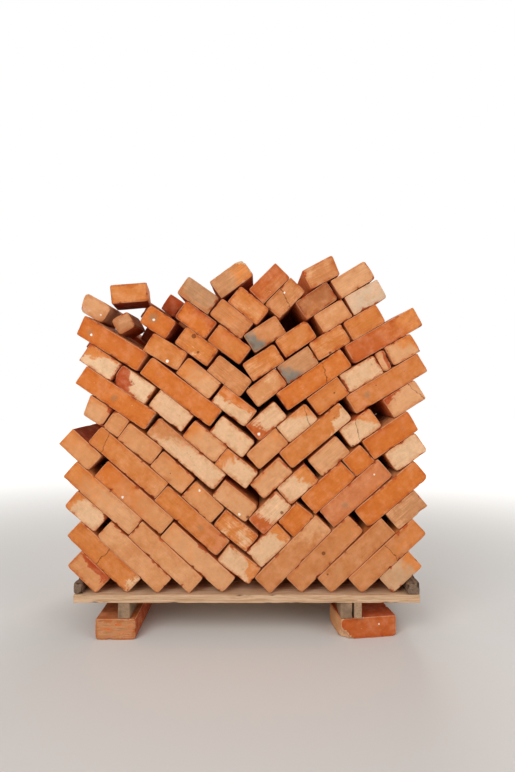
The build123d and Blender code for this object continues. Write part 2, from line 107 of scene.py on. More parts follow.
# What each brick of the front shows, by course from the middle outwards. mark is a white spot and
# smudge a patch of soot: place from the inner end, place from the bed, radius. crack is a hairline:
# place from the inner end, tilt. chips are the depths of broken corners: I or O for the inner or
# outer end, L or U for the lower or upper edge. corner is a radius, rim and soft are the widths of
# the worn rim and of the patch's border, and burn is the redness near the arrises. ends and inside
# are tones of those faces and of broken clay, and the dark end tones are partly painted shade. The
# tone given for the bed and top faces is a darker one, painted shade. pits and streaks say how many
# there are.
FRONT_FACES = {
    "left_course_01": [face("apricot", "rust", 0.32, (0, 1.3), rim=3, chips={"IU": 9, "OU": 7}, burn=0.8)],
    "left_course_02": [face("amber", "shell", -1.9, (-4.0, 0), crack=(129, 0.1), ends="cream", streaks=0.6)],
    "left_course_03": [
        face("apricot", "sand", 0.5, (0.4, 0), burn=0.3),
        face("shell", "orange", 0.08, (1.7, 0.2), rim=2, chips={"IU": 17, "IL": 9}, ends="dark"),
    ],
    "left_course_04": [
        face("apricot", "sand", 0.5, (-0.7, 0), burn=0.3),
        face("sand", "orange", 0.62, (1.2, 0), pits=0.16, streaks=0.7),
    ],
    "left_course_05": [
        face("sand", "orange", 0.35, (0.5, 0), burn=0.3),
        face("apricot", "saturated", 0.7, (1.3, 0), mark=(159, 10, 3.4), soft=0.7),
        face("apricot", "orange", 0.35, (0.9, 0.4), ends="brown", beds="dark"),
    ],
    "left_course_06": [
        face("shell", "orange", 0.42, (-1.1, 0.5), rim=3, chips={"OL": 9}, pits=0.2),
        face("amber", "pink_orange", 0.5, (-0.8, 0), ends="pale", smudge=(92, 32, 7), streaks=0.6),
        face("amber", "apricot", 0.45, (-0.4, 0), crack=(222, 0.3)),
    ],
    "left_course_07": [
        face("orange", "shell", 0.72, (0, 0.1), rim=4, soft=0.2, streaks=0.9, pits=0.2),
        face("apricot", "orange", 0.35, (0.6, 0.3), mark=(92, 50, 3.4)),
        face("apricot", "orange", 0.35, (0, 0.8)),
        face("apricot", "tan", 0.4, pits=0.2),
        face("apricot", "sand", 0.4, chips={"OU": 14, "OL": 9}),
        face("sand", "orange", 0.35, (0.2, 0.7), ends="dark", chips={"IU": 20, "IL": 12}),
    ],
    "left_course_08": [
        face("sand", "tan_orange", 0.5, (0, 0.3), mark=(29, 9, 3.8), rim=2, soft=0.3, pits=0.25),
        face("shell", "tan_orange", 0.36, (1.4, 0.7), rim=2, pits=0.3, soft=0.2),
        face("saturated", "amber", 0.4, ends="cream", smudge=(128, 30, 9)),
    ],
    "left_course_09": [
        face("shell", "orange", 0.24, (1.7, 0), rim=2.5),
        face("sand", "orange", 0.3, (1.3, 0.2), rim=2),
        face("shell", "pink", 0.5, rim=1.5, burn=0.4),
        face("cream", "rust", 0.6, (1.7, -0.9), rim=2, chips={"OL": 30, "OU": 9}),
        face("cream", "orange", 0.34, (0.9, 1.3), rim=3, chips={"OU": 10}, rim_tone="rust"),
    ],
    "left_course_10": [
        face("shell", "sand", 0.4, (0, 0.2), rim=2, pits=0.22),
        face("saturated", "amber", 0.35, ends="cream"),
        face("saturated", "burnt", 0.4, (0, 0.5), mark=(170, 22, 3.6), smudge=(176, 26, 9), soft=0.8),
    ],
    "left_course_11": [
        face("shell", "saturated", 0.62, (0.1, 0.9), rim=3, streaks=0.9),
        face("sand", "orange", 0.42, (1.4, 0.2), rim=2, streaks=0.8),
        face("amber", "apricot", 0.45, (-0.3, -0.3), mark=(40, 10, 4.8), soft=0.3),
    ],
    "left_course_12": [
        face("tan_orange", "apricot", 0.5, streaks=1.0),
        face("amber", "shell", 0.4, (0, -0.2), rim=4, streaks=1.0, burn=0.8, pits=0.4),
        face("saturated", "burnt", 0.4, (-0.4, 0), mark=(61, 30, 3.4), ends="dark", smudge=(66, 32, 13)),
    ],
    "left_course_13": [
        face("amber", "burnt", 0.42, rim=3, streaks=1.0, burn=0.7),
        face("saturated", "rust", 0.36, (-0.3, 0.9), rim=3, rim_tone="dark",
             chips={"OU": 9, "IU": 7}, soft=0.3),
    ],
    "left_course_14": [
        face("tan_orange", "amber", 0.5, rim=2, streaks=1.2),
        face("grey_tan", "tan_orange", 0.4, (0, -0.6), beds="dark", streaks=1.0),
    ],
    "left_course_15": [face("amber", "sand", 0.45, (0, -0.1), rim=5, burn=0.9, streaks=0.7)],
    "right_course_01": [face("beige", "orange", 0.22, (1.5, 0), soft=0.3, burn=0.3)],
    "right_course_02": [face("tan_orange", "amber", 0.5, (1.2, 0), crack=(149, 0.05), burn=0.4)],
    "right_course_03": [
        face("tan_orange", "tan", 0.45, pits=0.5, burn=0.4),
        face("tan", "sand", 0.5, (-0.6, 0), streaks=1.0, ends="beige", soft=0.3),
    ],
    "right_course_04": [
        face("tan_orange", "amber", 0.45, (0.2, 0), pits=0.5, burn=0.4),
        face("saturated", "amber", 0.4, corner=11),
    ],
    "right_course_05": [
        face("tan_orange", "sand", 0.1, (1.8, 0.4), pits=0.14),
        face("pink_orange", "saturated", 0.4, (0, -0.5), ends="pale", mark=(196, 40, 2.4),
             smudge=(70, 30, 12)),
        face("shell", "cream", 0.5, rim=2, corner=9, beds="brown", pits=0.2, chips={"OL": 8}),
    ],
    "right_course_06": [
        face("shell", "orange", 0.0, (1.9, 0.5), rim=2),
        face("saturated", "amber", 0.35, streaks=0.5),
        face("saturated", "amber", 0.3, chips={"IU": 9}, streaks=0.6),
        face("saturated", "amber", 0.35, ends="pale"),
        face("saturated", "burnt", 0.4, (0, 0.4)),
    ],
    "right_course_07": [
        face("shell", "burnt", 0.28, (-1.5, -0.4), rim=3, corner=6, pits=0.35, streaks=1.0),
        face("shell", "orange", 0.3, (1.6, 0.5), rim=3, chips={"OL": 8}, pits=0.3, streaks=0.8),
        face("sand", "tan", 0.5, streaks=1.4, pits=0.25, burn=0.7),
        face("shell", "orange", 0.2, (1.4, 0.9), rim=2.5, crack=(45, 0.5), corner=7, pits=0.35, streaks=0.8),
        face("sand", "rust", 0.18, (-0.6, 0.9), crack=(98, -0.2), burn=0.7, pits=0.25),
    ],
    "right_course_08": [
        face("sand", "orange", 0.5, (0, 0.3), rim=4, soft=0.2, streaks=0.8),
        face("amber", "shell", -0.22, (1.9, -0.7), soft=0.05),
        face("amber", "pink_orange", 0.6, (-0.2, 0), smudge=(58, 34, 10)),
    ],
    "right_course_09": [
        face("apricot", "orange", 0.35, (0.4, 0.2)),
        face("shell", "orange", 0.3, (1.2, 0.9), rim=2, streaks=0.8, crack=(92, 0.4)),
        face("amber", "burnt", 0.36, (0, 0.3), streaks=0.7, pits=0.2),
        face("shell", "pink", 0.4, rim=3, chips={"IL": 9}, pits=0.2),
        face("sand", "rust", 0.3, (2.6, 0), chips={"OU": 9, "OL": 7}, rim=2),
        face("sand", "orange", 0.42, (0.9, 0.9), rim=3, soft=0.15),
    ],
    "right_course_10": [
        face("shell", "burnt", 0.5, (-1.1, -0.3), rim=3, mark=(14, 18, 4.4), streaks=0.8, burn=0.7),
        face("saturated", "amber", 0.3, crack=(156, 0.35)),
        face("burnt", "orange", 0.32, (1.4, 0.2), soft=0.6),
    ],
    "right_course_11": [
        face("apricot", "shell", 0.5, (0, -0.1), rim=4, soft=0.3, burn=0.8),
        face("tan", "scorch", 0.16, (-1.9, -0.9), soft=0.35, streaks=0.8),
        face("amber", "sand", 0.5, (-0.2, 0), streaks=0.8, pits=0.3, burn=0.7),
        face("amber", "saturated", 0.5, streaks=0.6),
    ],
    "right_course_12": [
        face("amber", "sand", 0.5, (-0.2, 0), rim=2, streaks=0.9),
        face("amber", "tan_orange", 0.45, chips={"OU": 18}, rim=3, burn=0.9, streaks=1.0),
        face("apricot", "pink", 0.36, soft=0.4, chips={"IL": 8}, pits=0.2),
        face("pale", "beige", 0.6, soft=0.3, burn=0.25, streaks=0.8),
    ],
    "right_course_13": [
        face("tan_orange", "scorch", 0.2, (-1.9, -0.7), rim=2, soft=0.35, burn=0.7),
        face("brown", "tan_orange", 0.36, (0, -0.3), rim=3, rim_tone="dark", burn=0.8),
        face("sand", "pink", 0.5, chips={"OL": 13}, streaks=0.9, pits=0.2),
    ],
    "right_course_14": [
        face("tan_orange", "sand", 0.46, (0.3, -0.6), crack=(60, 0.4), mark=(66, 44, 3.0),
             burn=0.9, pits=0.3, streaks=0.9),
        face("tan_orange", "sand", 0.5, (-0.3, 0.2), rim=3, soft=0.3, streaks=1.0, burn=0.8, pits=0.3),
    ],
    "right_course_15": [face("burnt", "tan_orange", 0.55, (0, -0.2), streaks=0.6)],
    "right_course_16": [
        face("tan", "orange", 0.4, (1.1, -0.2), beds="dark", chips={"OU": 24}, inside="shell",
             soft=0.4, streaks=1.2),
    ],
    "loose_level_brick": [face("orange", "apricot", 0.5, rim=2.5, beds="dark", burn=0.8)],
    "loose_leaning_bat": [
        face("sand", "pink", 0.4, (0.5, -0.4), ends="grey_tan", corner=12, mark=(16, 22, 2.6)),
    ],
    "loose_tipped_bat": [face("tan", "pink", 0.35, rim=3, ends="brown", beds="brown", corner=8, soft=0.3)],
}

# What the faces that the front view doesn't show are drawn from.
COMMON_TONES = ("saturated", "saturated", "amber", "orange", "apricot", "tan_orange", "sand",
                "shell", "cream")
# End, bed and top faces take darker tones than the rest, partly the clay's own and partly painted shade.
BED_AND_SHADE_TONES = ("amber", "tan_orange", "orange", "pink_orange", "apricot", "burnt", "brown")
# The front faces of bricks inside the stack, seen through the gaps, take dark tones: painted shade.
HIDDEN_SHADE_TONES = ("brown", "dark", "rust")


def linear(colour):
    """A colour's linear values, with alpha."""
    parts = [c / 255 for c in colour]
    return [p / 12.92 if p <= 0.04045 else ((p + 0.055) / 1.055) ** 2.4 for p in parts] + [1.0]


def new_object(name, data):
    """An object in the scene."""
    made = bpy.data.objects.new(name, data)
    bpy.context.scene.collection.objects.link(made)
    return made


# Shapes

HASH_FACTORS = (374761393, 668265263, 1440662683)
HASH_SEED_FACTOR = 974711
HASH_MIX = 1274126177
# Where a face is cut near its arris, from the arris inwards.
NEAR_ARRIS = (0.0, 1.2, 3.2, 6.5)
THIN_CUTS = 7
CORNER_REACH = 14.0
# A broken corner reaches less far to the back.
CORNER_STRETCH = (1.0, 1.0, 1.25)


def hashed(cells, seed):
    """A fixed random value from 0 to 1 for each cell of a lattice."""
    mixed = seed * HASH_SEED_FACTOR
    for axis, factor in enumerate(HASH_FACTORS):
        mixed = mixed + cells[:, axis] * factor
    mixed = (mixed ^ (mixed >> 13)) * HASH_MIX
    mixed = mixed ^ (mixed >> 16)
    return (mixed & 0xFFFF) / 0xFFFF


def noise(points, lump, seed=0):
    """Smooth noise from -1 to 1 with lumps of about the given size."""
    scaled = points / lump
    cells = np.floor(scaled).astype(np.int64)
    part = scaled - cells
    part = part * part * (3 - 2 * part)
    total = np.zeros(len(points))
    for corner in np.ndindex(2, 2, 2):
        weight = np.prod(np.where(corner, part, 1 - part), axis=1)
        total += weight * hashed(cells + corner, seed)
    return total * 2 - 1


def loops(length, step):
    """Where one side is cut: close together at the arrises and evenly between them."""
    inner = length - 2 * NEAR_ARRIS[-1]
    if inner < step:
        return np.linspace(0, length, THIN_CUTS)
    even = np.linspace(NEAR_ARRIS[-1], length - NEAR_ARRIS[-1], max(2, round(inner / step)) + 1)
    near = np.array(NEAR_ARRIS[:-1])
    return np.concatenate([near, even, length - near[::-1]])


def shell(cuts):
    """Points, quads and side numbers of a box's surface, cut at these places along each axis."""
    shape = [len(c) for c in cuts]
    on_surface = np.ones(shape, bool)
    on_surface[1:-1, 1:-1, 1:-1] = False
    number = np.full(shape, -1)
    number[on_surface] = np.arange(on_surface.sum())
    places = np.nonzero(on_surface)
    points = np.stack([cut[place] for cut, place in zip(cuts, places)], axis=1)
    quads = []
    sides = []
    for axis in range(3):
        for end in (0, -1):
            layer = np.take(number, end, axis)
            corners = (layer[:-1, :-1], layer[1:, :-1], layer[1:, 1:], layer[:-1, 1:])
            quad = np.stack(corners, axis=-1).reshape(-1, 4)
            if (end == 0) != (axis == 1):
                quad = quad[:, ::-1]
            quads.append(quad)
            sides.append(np.full(len(quad), 2 * axis + (end == -1)))
    return points, np.concatenate(quads), np.concatenate(sides)


def corner_radii(points, size, seed, rng, finish, look):
    """The rounding at each point: uneven along the arrises, and larger at the corners."""
    radius = finish["radius"] * (1 + 0.5 * noise(points, 16, seed))
    for end in (0, 1):
        for edge in (0, 1):
            away = np.hypot(points[:, 0] - end * size[0], points[:, 1] - edge * size[1])
            corner = look["corner"] if "corner" in look else rng.uniform(1.0, 3.8) * finish["radius"]
            radius = np.maximum(radius, corner * np.exp(-(away / CORNER_REACH) ** 2))
    return np.minimum(radius, 0.45 * size.min())


def rounded(local, limits, radius):
    """Rounds a box's arrises, each place with its own radius."""
    core = np.clip(local, radius[:, None] - limits, limits - radius[:, None])
    out = local - core
    distance = np.linalg.norm(out, axis=1)
    return core + out * (radius / np.maximum(distance, 1e-6))[:, None]


def chipped(places, length, rng, finish):
    """How deep an arris is worn at each place along it, with a few chips."""
    depth = np.full(len(places), finish["edge"])
    for _ in range(rng.poisson(finish["chips"] * length / 100)):
        centre = rng.uniform(0, length)
        half = rng.uniform(4, 15)
        deep = rng.uniform(2.0, finish["deepest"])
        depth = np.maximum(depth, deep * (1 - ((places - centre) / half) ** 2))
    return depth


def wear_arrises(local, limits, grit, rng, finish):
    """Cuts the twelve arrises back, deeper at chips. Gives how deep each point was cut."""
    broken = np.zeros(len(local))
    for run in range(3):
        first, second = [axis for axis in range(3) if axis != run]
        for a in (-1, 1):
            for b in (-1, 1):
                depth = chipped(local[:, run] + limits[run], 2 * limits[run], rng, finish)
                depth = depth * (1 + 0.35 * grit)
                gap = limits[first] - a * local[:, first] + limits[second] - b * local[:, second]
                cut = np.maximum(depth - gap, 0)
                local[:, first] -= a * cut / 2
                local[:, second] -= b * cut / 2
                broken = np.maximum(broken, cut)
    return broken


def break_corners(local, limits, grit, chips):
    """Cuts the named front corners off. Gives how deep each point was cut."""
    broken = np.zeros(len(local))
    for name, depth in chips.items():
        way = np.array([1 if name[0] == "O" else -1, 1 if name[1] == "U" else -1, -1])
        gap = ((limits - way * local) * CORNER_STRETCH).sum(1)
        cut = np.maximum(depth * (1 + 0.16 * grit) - gap, 0)
        local -= way * (cut / 3)[:, None]
        broken = np.maximum(broken, cut)
    return broken


def worn(points, size, rng, finish, look):
    """Rounds and chips a box, and makes its faces uneven. Everything moves inwards."""
    seed = int(rng.integers(1, 100000))
    limits = size / 2 - finish["inset"]
    local = (points - size / 2) * (limits / (size / 2))
    local = rounded(local, limits, corner_radii(points, size, seed, rng, finish, look))
    grit = noise(points, 3.5, seed + 1) + 0.6 * noise(points, 8, seed + 2)
    broken = wear_arrises(local, limits, grit, rng, finish)
    broken = np.maximum(broken, break_corners(local, limits, grit, look.get("chips", {})))
    swell = finish["uneven"] * (0.5 + 0.5 * noise(points, 38, seed + 3))
    nearness = (np.abs(local) / limits) ** 10
    local -= np.sign(local) * nearness * swell[:, None]
    return local + size / 2, np.clip(broken / 1.6, 0, 1)


# Type and field of a mesh attribute, by how many numbers it has.
ATTRIBUTE_KINDS = {1: ("FLOAT", "value"), 3: ("FLOAT_VECTOR", "vector"), 4: ("FLOAT_COLOR", "color")}
POINT_ATTRIBUTES = ("place", "grain", "broken")
# Each piece takes its grain from another place.
GRAIN_REACH = 5000


class Pieces:
    """Collects worn boxes and their looks, and makes them one mesh object."""

    def __init__(self):
        self.points = []
        self.quads = []
        self.attributes = {}
        self.count = 0

    def keep(self, name, values):
        self.attributes.setdefault(name, []).append(np.asarray(values, dtype=np.float32))

    def add(self, box, steps, rng, finish, look, looks):
        """box is (origin, axes, size, slant), and looks has one look for each of the six sides."""
        origin, axes, size, slant = box
        cuts = [loops(length, step) for length, step in zip(size, steps)]
        points, quads, sides = shell(cuts)
        local, broken = worn(points, size, rng, finish, look)
        lean = slant * (local[:, 1] / size[1]) * (local[:, 0] / size[0])
        moved = local + np.stack([lean, 0 * lean, 0 * lean], axis=1)
        if np.linalg.det(axes) < 0:
            quads = quads[:, ::-1]
        self.points.append((origin + moved @ axes) * MM)
        self.quads.append(quads + self.count)
        self.count += len(points)
        self.keep("place", points)
        self.keep("grain", points + rng.uniform(-GRAIN_REACH, GRAIN_REACH, 3))
        self.keep("broken", broken)
        self.keep("size", np.tile(size, (len(quads), 1)))
        for name, value in looks.items():
            self.keep(name, np.array(value)[sides])

    def make(self, name, material, is_node=True):
        """Makes the object, and lets it stand for the CAD node of that name if there is one."""
        mesh = bpy.data.meshes.new(name + "_look")
        mesh.from_pydata(np.concatenate(self.points).tolist(), [], np.concatenate(self.quads).tolist())
        for key, parts in self.attributes.items():
            values = np.concatenate(parts)
            domain = "POINT" if key in POINT_ATTRIBUTES else "FACE"
            kind, field = ATTRIBUTE_KINDS[1 if values.ndim == 1 else values.shape[1]]
            mesh.attributes.new(key, kind, domain).data.foreach_set(field, values.ravel())
        mesh.polygons.foreach_set("use_smooth", np.ones(len(mesh.polygons), bool))
        mesh.materials.append(material)
        piece = new_object(name + "_look", mesh)
        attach(piece, "root")
        if is_node:
            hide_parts(name)


# What tells a brick's sides from its cut arrises, and a cut arris from a point.
LEAST_SIDE = 10.0
LEAST_ARRIS = 0.1
ON_FLOOR = 1.0


def islands(node):
    """The corner points of each separate solid of a CAD node."""
    mesh = frame["nodes"][node].data
    points = np.array([v.co[:] for v in mesh.vertices]) / MM
    numbers = {}
    same = [numbers.setdefault(tuple(p), len(numbers)) for p in np.round(points, 2).tolist()]
    parent = list(range(len(numbers)))

    def root(number):
        while parent[number] != number:
            number = parent[number]
        return number

    for polygon in mesh.polygons:
        first, *others = [same[v] for v in polygon.vertices]
        for other in others:
            parent[root(other)] = root(first)
    groups = {}
    for point, number in numbers.items():
        groups.setdefault(root(number), []).append(point)
    return [np.array(group) for group in groups.values()]


def in_order(outline):
    """The points of a flat outline, in order around its middle."""
    offsets = outline - outline.mean(0)
    return outline[np.argsort(np.arctan2(offsets[:, 1], offsets[:, 0]))]


def run_of(ring, wing):
    """The direction along a brick. On a wing that is the side that rises outwards."""
    sides = np.roll(ring, -1, axis=0) - ring
    lengths = np.linalg.norm(sides, axis=1)
    fits = lengths > LEAST_SIDE
    if wing:
        fits &= np.sign(sides[:, 0] * sides[:, 1]) == wing
    best = np.argmax(np.where(fits, lengths, 0))
    along = sides[best] / lengths[best]
    outwards = wing or LEFT
    return along if along[0] * outwards > 0 else -along


def turn_of(points):
    """How far a piece's back end is turned to the left: its lowest two points lie along it."""
    first, second = points[np.argsort(points[:, 2])[:2]]
    along = second - first if second[1] > first[1] else first - second
    return np.arctan2(-along[0], along[1])


def laid_box(points, wing):
    """Origin, axes, size and slant of a brick that lies with its front face to the front."""
    turn = turn_of(points)
    c, s = np.cos(turn), np.sin(turn)
    to_world = np.array([[c, s, 0], [-s, c, 0], [0, 0, 1]])
    points = points @ to_world.T
    front = points[:, 1].min()
    ring = in_order(points[points[:, 1] < points[:, 1].mean()][:, [0, 2]])
    along = run_of(ring, wing)
    across = np.array([-along[1], along[0]])
    across = across if across[1] > 0 else -across
    u = ring @ along
    v = ring @ across
    v_low = v.min()
    thickness = v.max() - v_low
    v = v - v_low
    lower = u[(v > LEAST_ARRIS) & (v < thickness / 2)]
    upper = u[(v > thickness / 2) & (v < thickness - LEAST_ARRIS)]
    arris = v[v > LEAST_ARRIS].min()
    lean = (upper.max() - lower.max()) / (thickness - 2 * arris)
    length = lower.max() - lean * arris - u.min()
    corner = along * u.min() + across * v_low
    origin = np.array([corner[0], front, corner[1]])
    axes = np.array([[along[0], 0, along[1]], [across[0], 0, across[1]], [0, 1, 0]])
    size = np.array([length, thickness, points[:, 1].max() - front])
    return origin @ to_world, axes @ to_world, size, lean * thickness


def level_box(node, along="x"):
    """The same for a piece that lies level, with its length along X or Y."""
    low, high = (np.array(corner[:]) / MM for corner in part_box(node))
    extent = high - low
    if along == "x":
        return low, np.array([[1.0, 0, 0], [0, 0, 1], [0, 1, 0]]), extent[[0, 2, 1]], 0.0
    return low, np.array([[0.0, 1, 0], [0, 0, 1], [1, 0, 0]]), extent[[1, 2, 0]], 0.0


def turned_box(node):
    """The same for the support that lies turned on the floor."""
    points = islands(node)[0]
    plan = points[points[:, 2] < ON_FLOOR][:, :2]
    along = run_of(in_order(plan), 0)
    along = along if along[0] > 0 else -along
    back = np.array([-along[1], along[0]])
    u = plan @ along
    w = plan @ back
    corner = along * u.min() + back * w.min()
    axes = np.array([[along[0], along[1], 0], [0, 0, 1], [back[0], back[1], 0]])
    size = np.array([np.ptp(u), np.ptp(points[:, 2]), np.ptp(w)])
    return np.array([corner[0], corner[1], 0.0]), axes, size, 0.0


# Looks of the bricks

def common_face(rng, tones):
    """A face drawn at random, for the sides that the photograph doesn't show."""
    tone, patch = rng.choice(tones, 2)
    lean = rng.uniform(-0.8, 0.8, 2)
    rim = rng.uniform(0, 3.5) if tone in PALE else 0.0
    return face(str(tone), str(patch), rng.uniform(0.2, 0.6), tuple(lean), rim)


def side_looks(look, rng, is_front):
    """The values that the clay material reads, one row for each of the six sides."""
    # Ends, bed faces and tops start from the darker tones, partly painted shade.
    sides = [common_face(rng, BED_AND_SHADE_TONES) for _ in range(6)]
    # Ends take the given tone, and the dark end tones are partly painted shade.
    if look.get("ends"):
        sides[INNER_END] = sides[OUTER_END] = face(look["ends"], "apricot", 0.3)
    # The tone given for the bed and top faces is a darker one: painted shade.
    if look.get("beds"):
        sides[BED] = sides[TOP] = face(look["beds"], "burnt", 0.4)
    # A brick inside the stack shows a dark front face: painted shade.
    sides[FRONT] = look if is_front else common_face(rng, HIDDEN_SHADE_TONES)
    sides[BACK] = common_face(rng, COMMON_TONES)
    shown = [side is look for side in sides]
    inside = look.get("inside", "rust")
    return {
        "tone": [linear(COLOURS[s["tone"]]) for s in sides],
        "patch_tone": [linear(COLOURS[s["patch"]]) for s in sides],
        "rim_tone": [linear(COLOURS[s["rim_tone"]]) for s in sides],
        "inside_tone": [linear(COLOURS[inside]) for _ in sides],
        "lean": [(*s["lean"], s["amount"]) for s in sides],
        "wear": [(s["rim"], s.get("pits", USUAL_PITS), s.get("streaks", USUAL_STREAKS)) for s in sides],
        "touch": [(s["soft"], s["burn"], s["rough"]) for s in sides],
        "mark": [look["mark"] if on and "mark" in look else NOWHERE for on in shown],
        "crack": [(*look["crack"], 0) if on and "crack" in look else NOWHERE for on in shown],
        "smudge": [look["smudge"] if on and "smudge" in look else NOWHERE for on in shown],
    }


BRICK = {"inset": 0.05, "radius": 2.3, "edge": 1.2, "chips": 1.2, "deepest": 7.0, "uneven": 0.25}
SUPPORT_BRICK = {**BRICK, "chips": 1.6}
# Bricks inside the stack keep tight seams, so that little light comes through.
HIDDEN_BRICK = {"inset": 0.0, "radius": 0.5, "edge": 0.2, "chips": 0.0, "deepest": 2.0, "uneven": 0.05}
# How finely a brick is cut along its length, thickness and depth.
FRONT_STEPS = (6.5, 6.0, 22.0)
BACK_STEPS = (9.5, 8.0, 24.0)
HIDDEN_STEPS = (24.0, 17.0, 30.0)
SUPPORT_STEPS = (7.0, 6.0, 9.0)
# The fronts of one row's bricks lie closer together than half of this.
ROW = 40.0
# Thin dark sheets of clay that stand in the gaps, painted shade that keeps the gaps dark: middle in X and Z,
# width and height.
SHADE_SHEETS = (
    ((47, 681), 44, 36),
    ((-46, 843), 82, 26),
    ((-16, 812), 26, 24),
    ((30, 761), 52, 40),
    ((89, 804), 54, 34),
    ((171, 864), 28, 26),
)
SHADE_SHEET_MIDDLE = 3.0
SHADE_SHEET_THICKNESS = 2.4
SHADE_SHEET_SLOPE = -38.0


def dress_course(node, wing, material, seed):
    """Every brick of one course, in front and behind."""
    pieces = Pieces()
    rng = np.random.default_rng(seed)
    boxes = [laid_box(points, wing) for points in islands(node)]
    foremost = min(box[0][1] for box in boxes)
    rearmost = max(box[0][1] + box[2][2] for box in boxes)
    boxes.sort(key=lambda box: (round((box[0][1] - foremost) / ROW), (wing or LEFT) * box[0][0]))
    listed = iter(FRONT_FACES[node])
    for box in boxes:
        is_front = box[0][1] < foremost + ROW / 2
        is_back = box[0][1] + box[2][2] > rearmost - ROW / 2
        look = next(listed, None) if is_front else None
        if look is None:
            look = common_face(rng, COMMON_TONES)
        if is_front:
            steps, finish = FRONT_STEPS, BRICK
        elif is_back:
            steps, finish = BACK_STEPS, BRICK
        else:
            steps, finish = HIDDEN_STEPS, HIDDEN_BRICK
        pieces.add(box, steps, rng, finish, look, side_looks(look, rng, is_front))
    pieces.make(node, material)


def dress_support(node, box, look, material, seed):
    """A brick under a runner."""
    pieces = Pieces()
    rng = np.random.default_rng(seed)
    pieces.add(box, SUPPORT_STEPS, rng, SUPPORT_BRICK, look, side_looks(look, rng, True))
    pieces.make(node, material)


def lodge_flake(name, middle, width, height, material, seed):
    """A thin dark sheet of clay, painted shade, that stands between the front half of the load and the back
    half.
    """
    turn = radians(SHADE_SHEET_SLOPE)
    axes = np.array([(np.cos(turn), 0, np.sin(turn)), (-np.sin(turn), 0, np.cos(turn)), (0, 1, 0)])
    size = np.array([width, height, SHADE_SHEET_THICKNESS])
    centre = np.array([middle[0], SHADE_SHEET_MIDDLE, middle[1]])
    # It takes a dark tone: painted shade.
    look = common_face(np.random.default_rng(seed), HIDDEN_SHADE_TONES)
    pieces = Pieces()
    rng = np.random.default_rng(seed)
    box = (centre - size / 2 @ axes, axes, size, 0.0)
    pieces.add(box, HIDDEN_STEPS, rng, HIDDEN_BRICK, look, side_looks(look, rng, False))
    pieces.make(name, material, is_node=False)


# Materials

class Tree:
    """Short calls for building one material's nodes."""

    def __init__(self, name, roughness, specular):
        self.material = bpy.data.materials.new(name)
        self.material.use_nodes = True
        self.nodes = self.material.node_tree.nodes
        self.links = self.material.node_tree.links
        self.shader = self.nodes["Principled BSDF"]
        self.shader.inputs["Roughness"].default_value = roughness
        self.shader.inputs["Specular IOR Level"].default_value = specular

    def put(self, socket, value):
        if isinstance(value, bpy.types.NodeSocket):
            self.links.new(value, socket)
        elif value is not None:
            socket.default_value = value

    def attribute(self, name, output="Vector"):
        node = self.nodes.new("ShaderNodeAttribute")
        node.attribute_name = name
        return node.outputs[output]

    def math(self, operation, a, b=None, c=None):
        node = self.nodes.new("ShaderNodeMath")
        node.operation = operation
        for socket, value in zip(node.inputs, (a, b, c)):
            self.put(socket, value)
        return node.outputs[0]

    def times(self, a, b):
        return self.math("MULTIPLY", a, b)

    def less(self, a, b):
        return self.math("SUBTRACT", a, b)

    def plus(self, start, value, factor=1.0):
        """start and value times factor together."""
        return self.math("MULTIPLY_ADD", value, factor, start)

    def vector(self, operation, a, b=None, output="Vector"):
        node = self.nodes.new("ShaderNodeVectorMath")
        node.operation = operation
        self.put(node.inputs[0], a)
        if b is not None:
            self.put(node.inputs[1], b)
        return node.outputs[output]

    def parts(self, vector):
        node = self.nodes.new("ShaderNodeSeparateXYZ")
        self.put(node.inputs[0], vector)
        return node.outputs

    def noise(self, vector, lump, detail=3.0, roughness=0.6, distortion=0.0):
        """Noise about 0.5 with lumps of the given size in millimetres."""
        node = self.nodes.new("ShaderNodeTexNoise")
        self.put(node.inputs["Vector"], vector)
        node.inputs["Scale"].default_value = 1 / lump
        node.inputs["Detail"].default_value = detail
        node.inputs["Roughness"].default_value = roughness
        node.inputs["Distortion"].default_value = distortion
        return node.outputs["Fac"]

    def cells(self, vector, size):
        """Distance to the nearest of scattered points, and a random value for each."""
        node = self.nodes.new("ShaderNodeTexVoronoi")
        self.put(node.inputs["Vector"], vector)
        node.inputs["Scale"].default_value = 1 / size
        return node.outputs["Distance"], self.parts(node.outputs["Color"])[0]

    def rise(self, value, low, high, start=0.0, end=1.0):
        """A smooth step from start at low to end at high."""
        node = self.nodes.new("ShaderNodeMapRange")
        node.interpolation_type = "SMOOTHSTEP"
        for socket, number in zip(node.inputs, (value, low, high, start, end)):
            self.put(socket, number)
        return node.outputs[0]

    def mix(self, factor, a, b, blend="MIX"):
        node = self.nodes.new("ShaderNodeMix")
        node.data_type = "RGBA"
        node.blend_type = blend
        self.put(node.inputs[0], factor)
        self.put(node.inputs[6], a)
        self.put(node.inputs[7], b)
        return node.outputs[2]

    def scaled(self, colour, value):
        """Makes a colour lighter or darker by a factor."""
        node = self.nodes.new("ShaderNodeVectorMath")
        node.operation = "SCALE"
        self.put(node.inputs[0], colour)
        self.put(node.inputs["Scale"], value)
        return node.outputs[0]

    def edge_distance(self, place, size):
        """Distance from a point of a face to the face's nearest arris: the middle one of three."""
        half = self.scaled(size, 0.5)
        offset = self.vector("ABSOLUTE", self.vector("SUBTRACT", place, half))
        a, b, c = self.parts(self.vector("SUBTRACT", half, offset))
        low = self.math("MINIMUM", a, b)
        high = self.math("MAXIMUM", a, b)
        return self.math("MAXIMUM", low, self.math("MINIMUM", high, c))

    def finish(self, colour, height, roughness=None):
        """height is in millimetres."""
        bump = self.nodes.new("ShaderNodeBump")
        bump.inputs["Distance"].default_value = MM
        self.put(bump.inputs["Height"], height)
        self.put(self.shader.inputs["Normal"], bump.outputs[0])
        self.put(self.shader.inputs["Base Color"], colour)
        if roughness is not None:
            self.put(self.shader.inputs["Roughness"], roughness)
        return self.material


